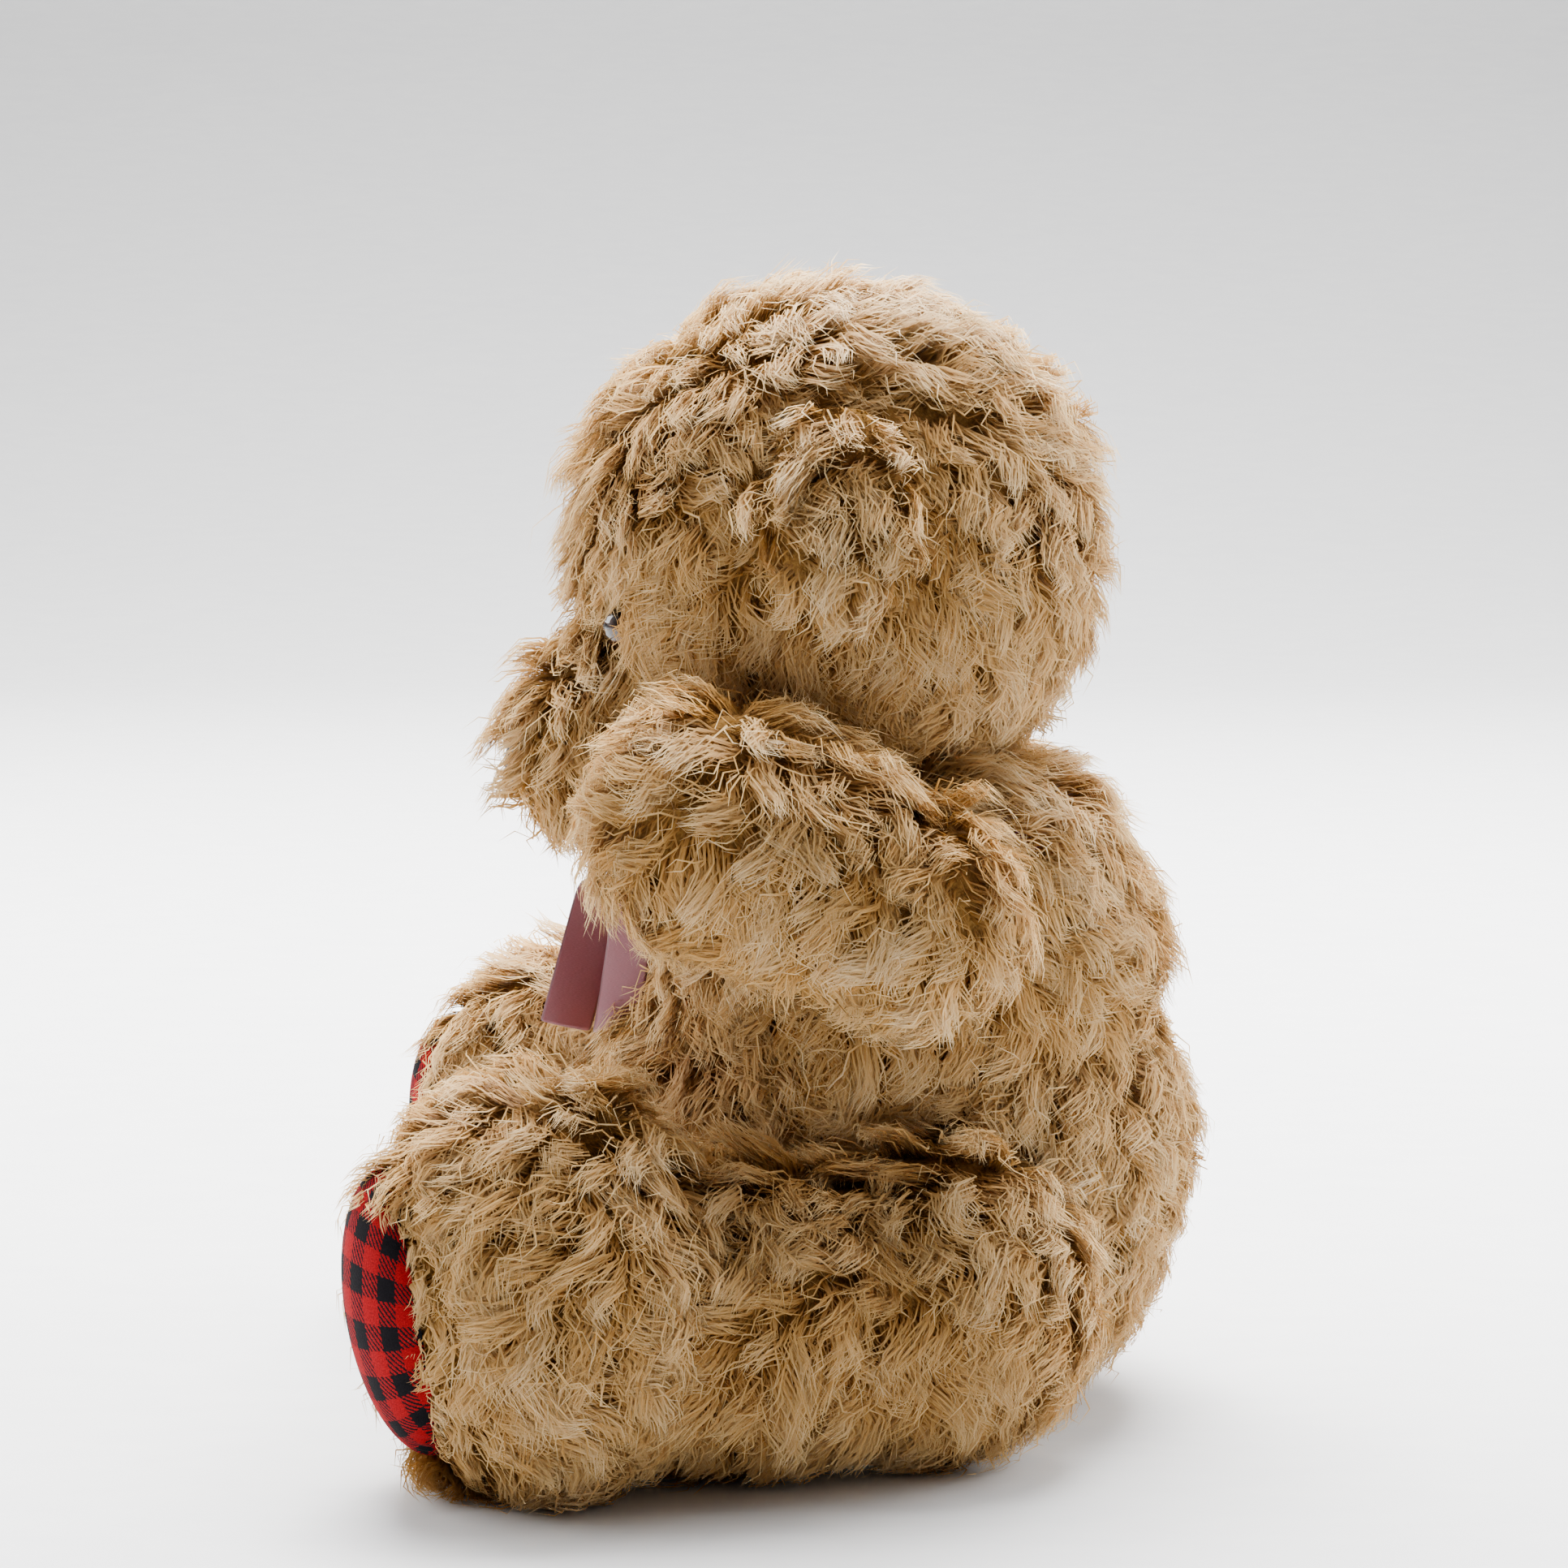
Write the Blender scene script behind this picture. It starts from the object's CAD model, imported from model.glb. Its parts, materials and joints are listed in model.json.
import json
import math

import bmesh
import bpy
import numpy as np
from mathutils import Matrix, Vector, kdtree
from mathutils.bvhtree import BVHTree


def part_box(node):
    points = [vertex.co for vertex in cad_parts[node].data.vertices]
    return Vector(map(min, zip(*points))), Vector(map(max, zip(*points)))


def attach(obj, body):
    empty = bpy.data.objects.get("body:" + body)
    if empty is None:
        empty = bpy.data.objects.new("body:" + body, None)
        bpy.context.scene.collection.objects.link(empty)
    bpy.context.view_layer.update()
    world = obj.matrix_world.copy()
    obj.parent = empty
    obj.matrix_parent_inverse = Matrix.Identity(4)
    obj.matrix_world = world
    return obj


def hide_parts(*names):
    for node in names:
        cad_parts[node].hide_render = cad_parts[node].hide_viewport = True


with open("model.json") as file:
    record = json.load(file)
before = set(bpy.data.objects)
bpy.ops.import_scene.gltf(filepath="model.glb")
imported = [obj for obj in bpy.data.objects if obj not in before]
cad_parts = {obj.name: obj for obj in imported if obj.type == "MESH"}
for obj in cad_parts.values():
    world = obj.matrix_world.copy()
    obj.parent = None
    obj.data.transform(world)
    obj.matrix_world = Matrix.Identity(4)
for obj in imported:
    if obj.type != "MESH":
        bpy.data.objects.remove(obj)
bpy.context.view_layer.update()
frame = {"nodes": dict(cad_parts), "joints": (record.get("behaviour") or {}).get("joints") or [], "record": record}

scene = bpy.context.scene

# Studio. The bear sits on a pale sweep of seamless paper under a large soft box, and the camera stands at
# its left side, a little above its head, with a long lens.
PER_MM = 1000.0
CAMERA_PLACE = (1.267, -0.034, 0.361)
CAMERA_TILT = math.radians(7.6)
LENS_MM = 95.3
SENSOR_MM = 36.0
FLOOR_FRONT = 8.0
FLOOR_HALF_WIDE = 14.0
FLOOR_RUN = 10.0
SWEEP_RADIUS = 1.5
WALL_TALL = 4.0


def linear(hex_colour):
    """An sRGB hex colour as linear red, green, blue and alpha."""
    srgb = [int(hex_colour[i:i + 2], 16) / 255 for i in (1, 3, 5)]
    return [c / 12.92 if c <= 0.04045 else ((c + 0.055) / 1.055) ** 2.4 for c in srgb] + [1.0]


def add(material, kind, inputs=None, stops=(), **settings):
    """Adds a node with its settings. An input is given a value, or an output socket to link from, and a
    colour ramp is given its stops, each a place and a hex colour."""
    tree = material.node_tree
    node = tree.nodes.new(kind)
    for name, value in settings.items():
        setattr(node, name, value)
    if stops:
        points = node.color_ramp.elements
        while len(points) < len(stops):
            points.new(0.5)
        for point, (place, colour) in zip(points, stops):
            point.position = place
            point.color = linear(colour)
    for name, value in (inputs or {}).items():
        if isinstance(value, bpy.types.NodeSocket):
            tree.links.new(value, node.inputs[name])
        else:
            node.inputs[name].default_value = value
    return node


def finish_material(material, inputs):
    """Puts a Principled surface with these inputs on the material's output."""
    surface = add(material, "ShaderNodeBsdfPrincipled", inputs)
    add(material, "ShaderNodeOutputMaterial", {"Surface": surface.outputs["BSDF"]})


def new_material(name):
    material = bpy.data.materials.new(name)
    material.use_nodes = True
    material.node_tree.nodes.clear()
    return material


def mesh_object(name, mesh, *materials):
    obj = bpy.data.objects.new(name, mesh)
    scene.collection.objects.link(obj)
    for material in materials:
        mesh.materials.append(material)
    return obj


def from_bmesh(name, bm, *materials):
    """A smoothly shaded object from a bmesh."""
    mesh = bpy.data.meshes.new(name)
    bm.to_mesh(mesh)
    bm.free()
    mesh.polygons.foreach_set("use_smooth", [True] * len(mesh.polygons))
    return mesh_object(name, mesh, *materials)


# Uncoated paper: matt all over, with a tooth of about a millimetre that barely shows.
paper = new_material("seamless_paper")
grain = add(paper, "ShaderNodeTexNoise", {"Scale": 0.9 * PER_MM, "Detail": 2.0})
tooth = add(
    paper, "ShaderNodeValToRGB", {"Fac": grain.outputs["Fac"]}, stops=[(0.3, "#D3D3D4"), (0.7, "#D7D7D7")]
)
finish_material(paper, {"Base Color": tooth.outputs["Color"], "Roughness": 0.9, "Specular IOR Level": 0.1})

bm = bmesh.new()
front_corners = [bm.verts.new((FLOOR_FRONT, y, 0.0)) for y in (-FLOOR_HALF_WIDE, FLOOR_HALF_WIDE)]
floor = bmesh.ops.extrude_edge_only(bm, edges=[bm.edges.new(front_corners)])["geom"]
back_corners = [v for v in floor if isinstance(v, bmesh.types.BMVert)]
bmesh.ops.translate(bm, verts=back_corners, vec=(-FLOOR_RUN, 0.0, 0.0))
bend = bmesh.ops.spin(
    bm,
    geom=back_corners + [e for e in floor if isinstance(e, bmesh.types.BMEdge)],
    cent=(FLOOR_FRONT - FLOOR_RUN, 0.0, SWEEP_RADIUS),
    axis=(0.0, 1.0, 0.0),
    angle=math.pi / 2,
    steps=24,
)["geom_last"]
wall = bmesh.ops.extrude_edge_only(bm, edges=[e for e in bend if isinstance(e, bmesh.types.BMEdge)])["geom"]
wall_top = [v for v in wall if isinstance(v, bmesh.types.BMVert)]
bmesh.ops.translate(bm, verts=wall_top, vec=(0.0, 0.0, WALL_TALL))
bmesh.ops.recalc_face_normals(bm, faces=bm.faces)
from_bmesh("paper_sweep", bm, paper)

camera_data = bpy.data.cameras.new("camera")
camera_data.lens = LENS_MM
camera_data.sensor_width = SENSOR_MM
camera_data.clip_start = 0.05
camera = bpy.data.objects.new("camera", camera_data)
camera.location = CAMERA_PLACE
camera.rotation_euler = (math.pi / 2 - CAMERA_TILT, 0.0, math.pi / 2)
scene.collection.objects.link(camera)
scene.camera = camera


def soft_box(name, place, aim, size, watts):
    """A square white soft box at a place, turned to look at its aim."""
    data = bpy.data.lights.new(name, "AREA")
    data.shape = "SQUARE"
    data.size = size
    data.energy = watts
    obj = bpy.data.objects.new(name, data)
    obj.location = place
    obj.rotation_euler = (Vector(aim) - Vector(place)).to_track_quat("-Z", "Y").to_euler()
    scene.collection.objects.link(obj)


soft_box("top_box", (-0.8, 0.0, 1.75), (0.0, 0.0, 0.15), 1.6, 275.0)
soft_box("wall_box", (-0.4, 0.0, 3.2), (-3.5, 0.0, 2.2), 2.5, 160.0)
soft_box("front_box", (-0.6, -1.7, 1.0), (0.0, 0.0, 0.2), 1.3, 50.0)
soft_box("back_box", (-0.6, 1.7, 1.0), (0.0, 0.0, 0.2), 1.3, 60.0)

# The room lights the bear with white from its right side and grey from its left. Past the paper's edges
# it looks plain white, which lights nothing.
world = bpy.data.worlds.new("studio")
world.use_nodes = True
world.node_tree.nodes.clear()
way = add(world, "ShaderNodeTexCoord").outputs["Generated"]
way_axes = add(world, "ShaderNodeSeparateXYZ", {"Vector": way})
surround = add(
    world, "ShaderNodeValToRGB", {"Fac": way_axes.outputs["X"]},
    stops=[(0.0, "#FFFFFF"), (0.35, "#A2A2A1"), (0.75, "#3A3836")],
)
room_light = add(world, "ShaderNodeBackground", {"Color": surround.outputs["Color"], "Strength": 1.4})
seen = add(world, "ShaderNodeBackground", {"Color": linear("#F4F4F4"), "Strength": 1.0})
path = add(world, "ShaderNodeLightPath").outputs["Is Camera Ray"]
shown = add(
    world, "ShaderNodeMixShader",
    {0: path, 1: room_light.outputs["Background"], 2: seen.outputs["Background"]},
)
add(world, "ShaderNodeOutputWorld", {"Surface": shown.outputs["Shader"]})
scene.world = world


# Stuffed cloth bodies. Each is a closed bag sewn from the plush panels, turned and filled with polyester
# fibre, so that it is plump and smooth between its seams. The pile is added to them further down.
SKIN_VOXEL = 0.005
SWELL_START = 0.002
SWELL_PRESSURE = 4.0
SWELL_STEPS = 20
SWELL_CAP = 0.003
FAR = 0.1  # metres: a bag further off than this counts as this far
SIDES = {"left": 1, "right": -1}

# Knitted backing with the dense roots of the pile: dark, dull and rough, with roots about a millimetre
# apart and patches of the dye some 17 mm across.
backing = new_material("knitted_pile_backing")
place = add(backing, "ShaderNodeTexCoord").outputs["Object"]
patches = add(backing, "ShaderNodeTexNoise", {"Vector": place, "Scale": 0.06 * PER_MM, "Detail": 4.0})
roots = add(backing, "ShaderNodeTexNoise", {"Vector": place, "Scale": 0.9 * PER_MM, "Detail": 2.0})
uneven = add(
    backing, "ShaderNodeMix", {"Factor": 0.5, 2: patches.outputs["Fac"], 3: roots.outputs["Fac"]},
    data_type="FLOAT",
)
dyed = add(
    backing, "ShaderNodeValToRGB", {"Fac": uneven.outputs[0]},
    stops=[(0.3, "#553816"), (0.5, "#6F4E22"), (0.7, "#866230")],
)
knit = add(backing, "ShaderNodeBump", {"Height": roots.outputs["Fac"], "Strength": 0.6, "Distance": 0.0008})
finish_material(
    backing,
    {
        "Base Color": dyed.outputs["Color"],
        "Roughness": 0.95,
        "Specular IOR Level": 0.1,
        "Normal": knit.outputs["Normal"],
    },
)


def coords(mesh):
    flat = np.empty(len(mesh.vertices) * 3)
    mesh.vertices.foreach_get("co", flat)
    return flat.reshape(-1, 3)


def normals(mesh):
    flat = np.empty(len(mesh.vertices) * 3)
    mesh.vertex_normals.foreach_get("vector", flat)
    return flat.reshape(-1, 3)


def bake(obj):
    """Applies the object's modifiers to its mesh and removes them."""
    depsgraph = bpy.context.evaluated_depsgraph_get()
    mesh = bpy.data.meshes.new_from_object(obj.evaluated_get(depsgraph))
    obj.modifiers.clear()
    obj.data = mesh


def largest_island(mesh):
    """Keeps the outer surface, which is the island with the most vertices, and smooths it a little."""
    bm = bmesh.new()
    bm.from_mesh(mesh)
    left = set(bm.verts)
    islands = []
    while left:
        front = [left.pop()]
        island = set(front)
        while front:
            vert = front.pop()
            for edge in vert.link_edges:
                other = edge.other_vert(vert)
                if other in left:
                    left.remove(other)
                    island.add(other)
                    front.append(other)
        islands.append(island)
    islands.sort(key=len)
    stray = [vert for island in islands[:-1] for vert in island]
    bmesh.ops.delete(bm, geom=stray, context="VERTS")
    for _ in range(2):
        bmesh.ops.smooth_vert(
            bm, verts=bm.verts, factor=0.5, use_axis_x=True, use_axis_y=True, use_axis_z=True
        )
    bm.to_mesh(mesh)
    bm.free()


def tree_of(obj):
    mesh = obj.data
    return BVHTree.FromPolygons(coords(mesh).tolist(), [p.vertices[:] for p in mesh.polygons])


def stuffed(name, body, cad_nodes):
    """One bag: the CAD panels and filling made one closed skin, which stands for them."""
    bm = bmesh.new()
    for node in cad_nodes:
        bm.from_mesh(frame["nodes"][node].data)
    bmesh.ops.remove_doubles(bm, verts=bm.verts, dist=1e-6)
    skin = from_bmesh(name, bm)
    remesh = skin.modifiers.new("remesh", "REMESH")
    remesh.mode = "VOXEL"
    remesh.voxel_size = SKIN_VOXEL
    bake(skin)
    largest_island(skin.data)
    skin.data.materials.clear()
    skin.data.materials.append(backing)
    skin.data.polygons.foreach_set("use_smooth", [True] * len(skin.data.polygons))
    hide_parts(*cad_nodes)
    skin["body"] = body
    return skin


def panels(body, *words):
    """The CAD nodes on a body whose names hold one of the words."""
    return [n for n in frame["record"]["behaviour"]["bodies"][body] if any(w in n for w in words)]


skins = {
    "torso": stuffed("torso_skin", "torso", panels("torso", "torso_front", "torso_back", "stuffing")),
    "head": stuffed("head_skin", "head", panels("head", "head_panel", "gusset", "muzzle", "stuffing")),
}
for side in SIDES:
    skins[f"ear_{side}"] = stuffed(f"ear_skin_{side}", "head", [f"ear_front_{side}", f"ear_back_{side}"])
    for limb in ("arm", "leg"):
        body = f"{limb}_{side}"
        skins[body] = stuffed(f"{limb}_skin_{side}", body, panels(body, "panel", "stuffing"))


def neighbours(part):
    """Search trees of the bags on other bodies."""
    body = skins[part]["body"]
    return [tree_of(skin) for name, skin in skins.items() if skin["body"] != body]


def room(points, trees):
    """How far each point is from the nearest other bag."""
    return np.array([min(tree.find_nearest(p, FAR)[3] or FAR for tree in trees) for p in points.tolist()])


def smoothstep(x, low, high):
    """Rises smoothly from 0 at low to 1 at high."""
    t = np.clip((x - low) / (high - low), 0.0, 1.0)
    return t * t * (3.0 - 2.0 * t)


def plump(part, trees):
    """Swells a bag as its filling does, by a pressure simulation, and less where it meets a neighbour."""
    skin = skins[part]
    rest = coords(skin.data)
    out = normals(skin.data)
    free = smoothstep(room(rest, trees), 0.002, 0.012)[:, None]
    start = rest - out * SWELL_START * free
    skin.data.vertices.foreach_set("co", start.ravel())
    cloth = skin.modifiers.new("cloth", "CLOTH")
    cloth.settings.use_pressure = True
    cloth.settings.uniform_pressure_force = SWELL_PRESSURE
    cloth.settings.quality = 4
    cloth.settings.effector_weights.gravity = 0.0
    cloth.collision_settings.use_collision = False
    for step in range(1, SWELL_STEPS + 1):
        scene.frame_set(step)
    bake(skin)
    scene.frame_set(1)
    move = coords(skin.data) - rest
    size = np.linalg.norm(move, axis=1, keepdims=True) + 1e-9
    move *= np.minimum(1.0, SWELL_CAP / size) * free
    skin.data.vertices.foreach_set("co", (rest + move).ravel())
    skin.data.update()


# Each bag's neighbours are taken as they stand before any of them swells.
around = {part: neighbours(part) for part in skins}
for part in ("torso", "head", "arm_left", "arm_right", "leg_left", "leg_right"):
    plump(part, around[part])
for skin in skins.values():
    smooth = skin.modifiers.new("smooth", "SUBSURF")
    smooth.levels = 1
    smooth.render_levels = 1
    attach(skin, skin["body"])


# Long pile. Wavy fibre 25 to 30 mm long is knitted into the backing and stands in soft locks that share a
# wave and meet at their tips. It is finer than can be drawn, so each wisp stands for a pinch of fibres.
WISPS_PER_MM2 = 0.8
MM2_PER_M2 = 1e6
WISP_WIDE = 0.00062
LOCK_WIDE = 0.0105
SEGMENTS = 4
TAPER = [0.85, 1.0, 0.95, 0.7, 0.0]  # the wisp's width from its root to its tip, as a share
PILE_LONG = 0.0262
SHORTEST = 0.004
STRAY_SHARE = 0.2
ROOT_SUNK = 0.0008
LIE_ON_FLOOR = 0.0006
FADED_ABOVE = (0.3, 0.335)  # metres: the crown's pile is paler between these heights and above
DOWN = np.array([0.0, 0.0, -1.0])

# Polyester fibre: honey brown at the root, where the dye is dense and no light comes, and cream at the
# tip. Light passes through it, so a lock glows at its edge. Across the map lies the lock's tone, and a fine
# noise along that makes one wisp in a few darker. The fibres are drawn as wide as a wisp, so that they show.
pile = new_material("wavy_plush_pile")
strand = add(pile, "ShaderNodeUVMap", uv_map="OFBake").outputs["UV"]
split = add(pile, "ShaderNodeSeparateXYZ", {"Vector": strand})
along = add(
    pile, "ShaderNodeValToRGB", {"Fac": split.outputs["Y"]},
    stops=[(0.0, "#74501F"), (0.2, "#B78C4A"), (0.45, "#E1BD81"), (0.8, "#F2DCB2"), (1.0, "#FAEED8")],
).outputs["Color"]
lock_only = add(pile, "ShaderNodeCombineXYZ", {"X": split.outputs["X"], "Y": 0.0})
shade = add(
    pile, "ShaderNodeValToRGB", {"Fac": split.outputs["X"]},
    stops=[(0.0, "#D9BE93"), (0.3, "#EBD9B6"), (0.6, "#F7EDDA"), (1.0, "#FFFFFF")],
).outputs["Color"]
tinted = add(
    pile, "ShaderNodeMix", {"Factor": 1.0, 6: along, 7: shade}, data_type="RGBA", blend_type="MULTIPLY"
)
fibres = add(
    pile, "ShaderNodeTexNoise", {"Vector": lock_only.outputs["Vector"], "Scale": 260.0, "Detail": 1.0}
)
streak = add(
    pile, "ShaderNodeValToRGB", {"Fac": fibres.outputs["Fac"]}, stops=[(0.35, "#B7A27C"), (0.6, "#FFFFFF")]
).outputs["Color"]
streaked = add(
    pile, "ShaderNodeMix", {"Factor": 0.8, 6: tinted.outputs[2], 7: streak},
    data_type="RGBA", blend_type="MULTIPLY",
)
fibre = add(
    pile, "ShaderNodeBsdfPrincipled",
    {"Base Color": streaked.outputs[2], "Roughness": 0.6, "Specular IOR Level": 0.2},
)
glow = add(pile, "ShaderNodeBsdfTranslucent", {"Color": streaked.outputs[2]})
soft = add(pile, "ShaderNodeMixShader", {0: 0.32, 1: fibre.outputs["BSDF"], 2: glow.outputs["BSDF"]})
add(pile, "ShaderNodeOutputMaterial", {"Surface": soft.outputs["Shader"]})


def unit(vectors):
    """Vectors at a length of 1."""
    return vectors / (np.linalg.norm(vectors, axis=-1, keepdims=True) + 1e-12)


def drift(points, width, seed):
    """Smooth noise from about -1 to 1 with features of the given width."""
    rng = np.random.default_rng(seed)
    total = np.zeros(len(points))
    for _ in range(7):
        wave = rng.normal(size=3)
        wave *= math.pi / width / np.linalg.norm(wave) * rng.uniform(0.6, 1.4)
        total += np.sin(points @ wave + rng.uniform(0.0, 2.0 * math.pi))
    return total / 3.0


def scatter(mesh, count, rng):
    """Points spread evenly over a mesh, with its normals there."""
    mesh.calc_loop_triangles()
    corners = np.empty(len(mesh.loop_triangles) * 3, dtype=np.int64)
    mesh.loop_triangles.foreach_get("vertices", corners)
    corners = corners.reshape(-1, 3)
    place, out = coords(mesh), normals(mesh)
    a, b, c = (place[corners[:, i]] for i in range(3))
    area = np.linalg.norm(np.cross(b - a, c - a), axis=1)
    pick = rng.choice(len(corners), size=count, p=area / area.sum())
    u, v = rng.random((2, count, 1))
    flip = u + v > 1.0
    u, v = np.where(flip, 1.0 - u, u), np.where(flip, 1.0 - v, v)
    at = a[pick] + u * (b - a)[pick] + v * (c - a)[pick]
    na, nb, nc = (out[corners[pick, i]] for i in range(3))
    return at, unit(na + u * (nb - na) + v * (nc - na)), area.sum() / 2.0


def one_per_cell(points, width, rng):
    """Indices of one random point in each cubic cell."""
    order = rng.permutation(len(points))
    cells = np.floor(points[order] / width).astype(np.int64)
    _, first = np.unique(cells, axis=0, return_index=True)
    return order[first]


def turned(vectors, axes, angle):
    """Vectors turned about unit axes that they stand square to."""
    angle = angle[:, None]
    return vectors * np.cos(angle) + np.cross(axes, vectors) * np.sin(angle)


def first_hit(points, ways, trees):
    """How far each point looks along its way before it meets a bag, up to 50 mm."""
    far = 0.05
    rays = zip(points.tolist(), ways.tolist())
    hits = [[tree.ray_cast(start, way, far)[3] or far for tree in trees] for start, way in rays]
    return np.min(hits, axis=1) if trees else np.full(len(points), far)


def crowding(part, points, out, clipped_by):
    """The shares of its lift and of its length that pile keeps at points where other bags leave it less
    room. Beside the bags that it is clipped by, it is shorter still."""
    skin = skins[part]
    space = np.minimum(room(points, around[part]) * 1.5, first_hit(points, out, around[part]))
    own = [tree_of(other) for name, other in skins.items() if name != part and other["body"] == skin["body"]]
    under = first_hit(points, out, own)
    lifted = 0.25 + 0.75 * smoothstep(np.minimum(space, under), 0.002, 0.022)
    long = smoothstep(space, 0.0005, 0.016) * (0.4 + 0.6 * smoothstep(under, 0.001, 0.02))
    if clipped_by:
        beside = smoothstep(room(points, [tree_of(skins[other]) for other in clipped_by]), 0.003, 0.026)
        lifted *= 0.4 + 0.6 * beside
        long *= 0.4 + 0.6 * beside
    return lifted, long


def wisp_mesh(name, verts, uv, shading):
    """A mesh of wisps. Each is a strip of pairs of vertices that ends in one, so its faces are quads and a
    last triangle, and it is shaded by normals that belong to the whole lock."""
    quads = np.array([[2 * i, 2 * i + 1, 2 * i + 3, 2 * i + 2] for i in range(SEGMENTS - 1)]).ravel()
    corners = np.concatenate([quads, [2 * SEGMENTS - 2, 2 * SEGMENTS - 1, 2 * SEGMENTS]])
    count, total = verts.shape[:2]
    loops = (corners[None, :] + total * np.arange(count)[:, None]).ravel()
    totals = np.tile([4] * (SEGMENTS - 1) + [3], count)
    mesh = bpy.data.meshes.new(name)
    mesh.vertices.add(count * total)
    mesh.vertices.foreach_set("co", verts.ravel())
    mesh.loops.add(len(loops))
    mesh.loops.foreach_set("vertex_index", loops)
    mesh.polygons.add(len(totals))
    mesh.polygons.foreach_set("loop_start", np.concatenate([[0], np.cumsum(totals)[:-1]]))
    mesh.polygons.foreach_set("loop_total", totals)
    mesh.uv_layers.new(name="OFBake").data.foreach_set("uv", uv.reshape(-1, 2)[loops].ravel())
    mesh.polygons.foreach_set("use_smooth", [True] * len(totals))
    mesh.update(calc_edges=True)
    mesh.normals_split_custom_set_from_vertices(shading.reshape(-1, 3).tolist())
    return mesh


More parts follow.
